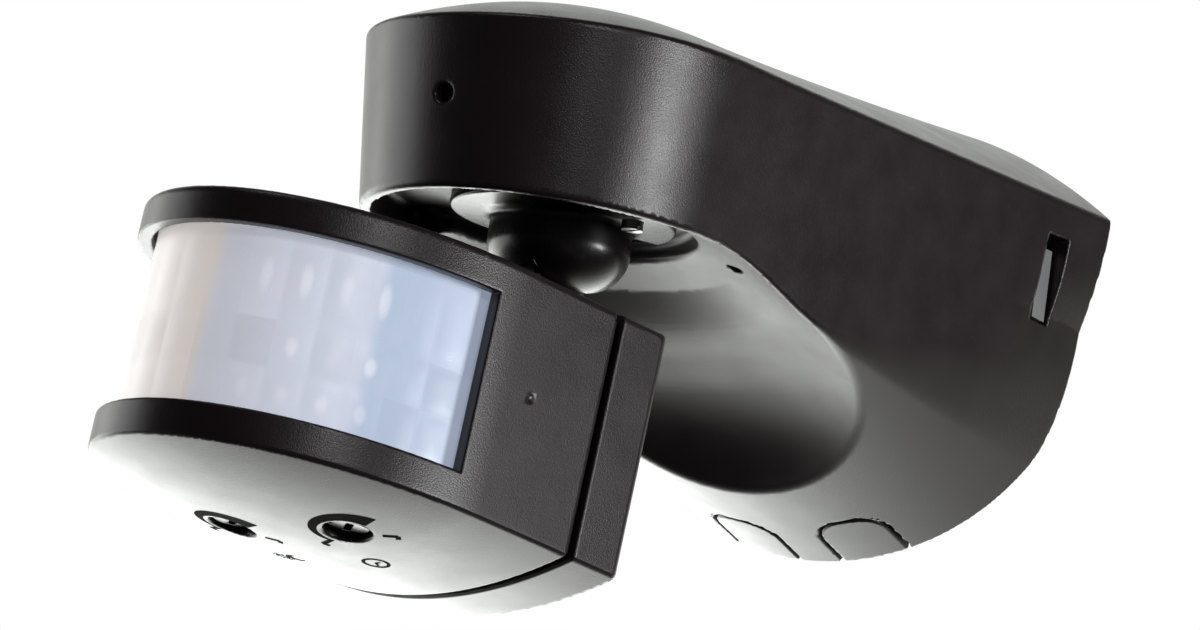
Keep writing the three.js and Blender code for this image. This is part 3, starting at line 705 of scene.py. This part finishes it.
def fresnel_lens():
    """The lens as a closed strip whose outer face is a grid of low facets."""
    around = LENS_COLUMNS * FACET_STEPS
    at, out = even_path(LENS_INSET, LENS_END + 2.7, around)
    heights, rows = [LENS_BOTTOM - LENS_LAP], [-0.1]
    for k, (low, high) in enumerate(zip(LENS_ROWS, LENS_ROWS[1:])):
        for i in range(ROW_STEPS + (k == len(LENS_ROWS) - 2)):
            heights.append(low + (high - low) * i / ROW_STEPS)
            rows.append(k + i / ROW_STEPS)
    heights.append(LENS_TOP + LENS_LAP)
    rows.append(len(LENS_ROWS) - 0.9)
    columns = np.arange(around + 1) / FACET_STEPS
    wave = 1 - (2 * (columns % 1) - 1) ** 2
    points, uvs = [], []
    for face in (0, 1):
        for z, row in zip(heights, rows):
            rise = FACET_RISE * wave * (1 - (2 * (row % 1) - 1) ** 4) if face == 0 else -LENS_THICK
            flat = at + out * (np.ones(around + 1) * rise)[:, None]
            points += [(px, py, z) for px, py in flat]
            uvs += [(c, row) for c in columns]
    wide, tall = around + 1, len(heights)
    faces = []
    for j in range(tall - 1):
        for i in range(around):
            k = j * wide + i
            faces.append((k, k + 1, k + wide + 1, k + wide))
            k += wide * tall
            faces.append((k + wide, k + wide + 1, k + 1, k))
    deep = wide * tall
    for i in range(around):
        top = (tall - 1) * wide + i
        faces.append((i + 1, i, i + deep, i + 1 + deep))
        faces.append((top, top + 1, top + 1 + deep, top + deep))
    for j in range(tall - 1):
        left, right = j * wide, j * wide + around
        faces.append((left, left + wide, left + wide + deep, left + deep))
        faces.append((right + wide, right, right + deep, right + wide + deep))
    lens = piece("lens_facets", points, faces, "head", milky, AT_HEAD)
    layer = lens.data.uv_layers.new(name="facets")
    for loop in lens.data.loops:
        layer.data[loop.index].uv = uvs[loop.vertex_index]
    lens.data.set_sharp_from_angle(angle=math.radians(50))
    return lens


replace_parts(fresnel_lens(), "fresnel_lens")


# ---- Adjusters and their marks ----
DIAL_FACE = -19.9


def dial(x, y, z):
    """A knob with a screwdriver slot across its face and a pointer notch in its edge."""
    knob = both(rod(x, y, DIAL_R - 0.4), between(z, DIAL_FACE, DIAL_FACE + 2), 0.3)
    slot = np.maximum(pad(x, y, 2.0, 0.45, 0.2), z - DIAL_FACE - 1.1)
    knob = cut(knob, slot, 0.15)
    notch = np.maximum(pad(x, y + DIAL_R - 0.4, 0.3, 0.7, 0.1), z - DIAL_FACE - 0.6)
    return cut(knob, notch, 0.1)


def underside(x, y):
    """Height of the head's lower face."""
    return -HEAD_HALF - dome(x, y, DOME)


INK_PROUD, INK_DEEP = 0.03, 0.12


def ribbon(path, widths, closed=False):
    """A thin printed line on the underside of the head, as points and faces."""
    path = np.asarray(path, float)
    along = np.gradient(path, axis=0)
    if closed:
        along = np.roll(path, -1, 0) - np.roll(path, 1, 0)
    along /= np.linalg.norm(along, axis=1)[:, None]
    aside = np.stack([-along[:, 1], along[:, 0]], 1) * (np.ones(len(path)) * widths)[:, None] / 2
    points = []
    for lift in (-INK_PROUD, INK_DEEP):
        for edge in (path + aside, path - aside):
            points += [(px, py, underside(px, py) + lift) for px, py in edge]
    n = len(path)
    faces = []
    for i in range(n if closed else n - 1):
        j = (i + 1) % n
        for a, b in ((0, n), (n, 3 * n), (3 * n, 2 * n), (2 * n, 0)):
            faces.append((a + i, b + i, b + j, a + j))
    if not closed:
        faces.append((0, 2 * n, 3 * n, n))
        faces.append((n - 1, 2 * n - 1, 4 * n - 1, 3 * n - 1))
    return points, faces


def arc(centre, radius, start, end, n=30):
    """Points round a centre between two angles; radius is one value or a first and a last one."""
    turn = np.radians(np.linspace(start, end, n))
    reach = np.linspace(*radius, n) if isinstance(radius, tuple) else radius
    return np.stack([centre[0] + reach * np.cos(turn), centre[1] + reach * np.sin(turn)], 1)


def scale_marks(centre):
    """A wedge that grows round the adjuster and a tick with a foot at each end of its travel."""
    wedge = ribbon(arc(centre, (4.3, 5.1), -200, -8), np.linspace(0.35, 2.7, 30))
    marks = [wedge]
    for turn, hand in ((42, 1), (165, -1)):
        out = np.array([math.cos(math.radians(turn)), math.sin(math.radians(turn))])
        aside = np.array([-out[1], out[0]]) * hand
        start = np.array(centre) + out * 4.6
        tip = start + out * 2.0
        marks.append(ribbon([start, (start + tip) / 2, tip], 0.75))
        marks.append(ribbon([tip, tip + aside * 0.5, tip + aside], 0.7))
    return marks


def clock_mark(centre):
    """A plain dial with two hands."""
    x, y = centre
    hands = [ribbon([(x, y), (x - 0.3, y + 0.5), (x - 0.6, y + 1.0)], 0.38)]
    hands.append(ribbon([(x, y), (x + 0.4, y), (x + 0.8, y)], 0.38))
    return [ribbon(arc(centre, 1.7, 0, 348, 40), 0.5, closed=True)] + hands


def sun_and_moon_mark(centre):
    """A small sun with eight rays beside a crescent."""
    x, y = centre
    marks = [ribbon(arc((x - 1.1, y), 0.8, 0, 340, 24), 0.42, closed=True)]
    for turn in range(0, 360, 45):
        ray = arc((x - 1.1, y), (1.15, 1.6), turn, turn, 3)
        marks.append(ribbon(ray, 0.34))
    widths = 0.25 + 0.7 * np.sin(np.linspace(0, math.pi, 24))
    crescent = ribbon(arc((x + 1.7, y), 1.1, 60, 300, 24), widths)
    return marks + [crescent]


def joined(name, parts):
    """All the printed lines of one adjuster as a single piece."""
    points, faces = [], []
    for some_points, some_faces in parts:
        base = len(points)
        points += some_points
        faces += [tuple(base + i for i in face) for face in some_faces]
    marks = piece(name, points, faces, "head", ink, AT_HEAD)
    marks.data.polygons.foreach_set("use_smooth", [False] * len(faces))


DIAL_TURN = Matrix.Rotation(math.radians(-35), 4, "Z")
SYMBOLS = (("time", clock_mark, (-5.4, 10.3)), ("light", sun_and_moon_mark, (-1.8, 11.8)))
for name, symbol, shift in SYMBOLS:
    place = AT_HEAD @ Matrix.Translation((*DIAL_AT[name], 0)) @ DIAL_TURN
    knob = moulded(
        f"{name}_knob", dial, (-3.6, -3.6, -21), (3.6, 3.6, -17), 0.13,
        f"{name}_dial", gloss_black, place,
    )
    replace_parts(knob, f"{name}_adjuster")
    middle = DIAL_AT[name]
    joined(f"{name}_marks", scale_marks(middle) + symbol((middle[0] + shift[0], middle[1] + shift[1])))


# ---- Frame parts that show as they are ----
FINISH = {
    "housing_brown": brown, "neck_dark": neck_dark, "lens_milky": milky, "adjuster_black": gloss_black,
    "inner_grey": grey, "rubber_black": rubber, "board_green": board, "part_black": part_black,
    "varistor_blue": blue, "led_red": red, "screw_steel": steel, "brass": brass,
}
SOFT_EDGE, FEW_SIDES = 0.12 * MM, math.radians(35)
for part in frame["record"]["subparts"]:
    thing = frame["nodes"][part["node"]]
    thing.data.materials.clear()
    thing.data.materials.append(FINISH[part["material_slot"]])
    thing.data.shade_smooth()
    thing.data.set_sharp_from_angle(angle=FEW_SIDES)
    edge = thing.modifiers.new("soft_edge", "BEVEL")
    edge.width, edge.segments, edge.limit_method, edge.angle_limit = SOFT_EDGE, 2, "ANGLE", FEW_SIDES
    edge.harden_normals = True


# ---- Stage, light and camera ----
VIEW_AZIMUTH, VIEW_ELEVATION, VIEW_ROLL = (math.radians(a) for a in (32.8, -11.551, 7.907))
CAMERA_AT = Vector((462.17, -785.51, -205.43)) * MM
LENS_MM, SENSOR_MM = 190.7, 36


def camera():
    data = bpy.data.cameras.new("camera")
    data.lens, data.sensor_width, data.sensor_fit = LENS_MM, SENSOR_MM, "HORIZONTAL"
    data.clip_end = 20
    thing = bpy.data.objects.new("camera", data)
    turn = (
        Matrix.Rotation(VIEW_AZIMUTH, 4, "Z")
        @ Matrix.Rotation(math.pi / 2 - VIEW_ELEVATION, 4, "X")
        @ Matrix.Rotation(VIEW_ROLL, 4, "Z")
    )
    thing.matrix_world = Matrix.Translation(CAMERA_AT) @ turn
    bpy.context.scene.collection.objects.link(thing)
    bpy.context.scene.camera = thing


def direction(azimuth, elevation):
    """The unit vector at an azimuth counted from -Y towards +X, and an elevation, in degrees."""
    a, e = math.radians(azimuth), math.radians(elevation)
    return Vector((math.sin(a) * math.cos(e), -math.cos(a) * math.cos(e), math.sin(e)))


def softbox(name, start, end, width, distance, power):
    """A soft strip of light that spans two directions as the object sees them."""
    target = Vector((0, -0.09, -0.03))
    ends = [target + direction(*way) * distance for way in (start, end)]
    centre = (ends[0] + ends[1]) / 2
    x = (ends[1] - ends[0]).normalized()
    z = (centre - target).normalized()
    y = z.cross(x).normalized()
    data = bpy.data.lights.new(name, "AREA")
    data.shape, data.size, data.size_y = "RECTANGLE", (ends[1] - ends[0]).length, width
    data.energy = power
    thing = bpy.data.objects.new(name, data)
    thing.matrix_world = Matrix.Translation(centre) @ Matrix((x, y, x.cross(y))).transposed().to_4x4()
    bpy.context.scene.collection.objects.link(thing)


ROOM_BELOW, ROOM_ABOVE = 6.0, 1.4  # strength of the surroundings under and over the horizon


def surroundings():
    """A bright cyclorama behind the object and a dim room in front of it."""
    world = bpy.data.worlds.new("studio")
    bpy.context.scene.world = world
    world.use_nodes = True
    tree = world.node_tree
    tree.nodes.clear()
    way = node(tree, "TexCoord").outputs["Generated"]
    behind = direction(180 + math.degrees(VIEW_AZIMUTH), 4)
    facing = node(tree, "VectorMath", {0: way, 1: behind}, operation="DOT_PRODUCT").outputs["Value"]
    glow = ramp(
        tree,
        math_of(tree, "MULTIPLY_ADD", facing, 0.5, 0.5),
        (0.0, (0.006, 0.006, 0.006)),
        (0.58, (0.008, 0.008, 0.008)),
        (0.64, (0.02, 0.02, 0.02)),
        (0.72, (0.085, 0.085, 0.08)),
        (0.82, (0.36, 0.37, 0.35)),
        (0.93, (0.76, 0.78, 0.76)),
    )
    height = node(tree, "SeparateXYZ", {"Vector": way}).outputs["Z"]
    above = scaled(tree, height, -0.08, 0.12)
    strength = math_of(tree, "MULTIPLY_ADD", above, ROOM_ABOVE - ROOM_BELOW, ROOM_BELOW)
    room = node(tree, "Background", {"Color": glow, "Strength": strength})
    backdrop = node(tree, "Background", {"Color": (1, 1, 1, 1), "Strength": 1.0})
    seen = node(tree, "LightPath").outputs["Is Camera Ray"]
    mixed = node(tree, "MixShader", {0: seen, 1: room.outputs[0], 2: backdrop.outputs[0]})
    output = tree.nodes.new("ShaderNodeOutputWorld")
    tree.links.new(mixed.outputs[0], output.inputs["Surface"])


camera()
surroundings()
softbox("strip", (93, 0), (106, 0), 0.22, 1.0, 4.6)
softbox("spot", (56, 20), (64, 18), 0.12, 1.0, 1.2)
softbox("fill", (-20, 62), (10, 62), 0.5, 1.2, 1.2)
softbox("left", (-105, 0), (-55, 0), 0.9, 1.2, 6)
bpy.context.scene.view_settings.view_transform = "Standard"
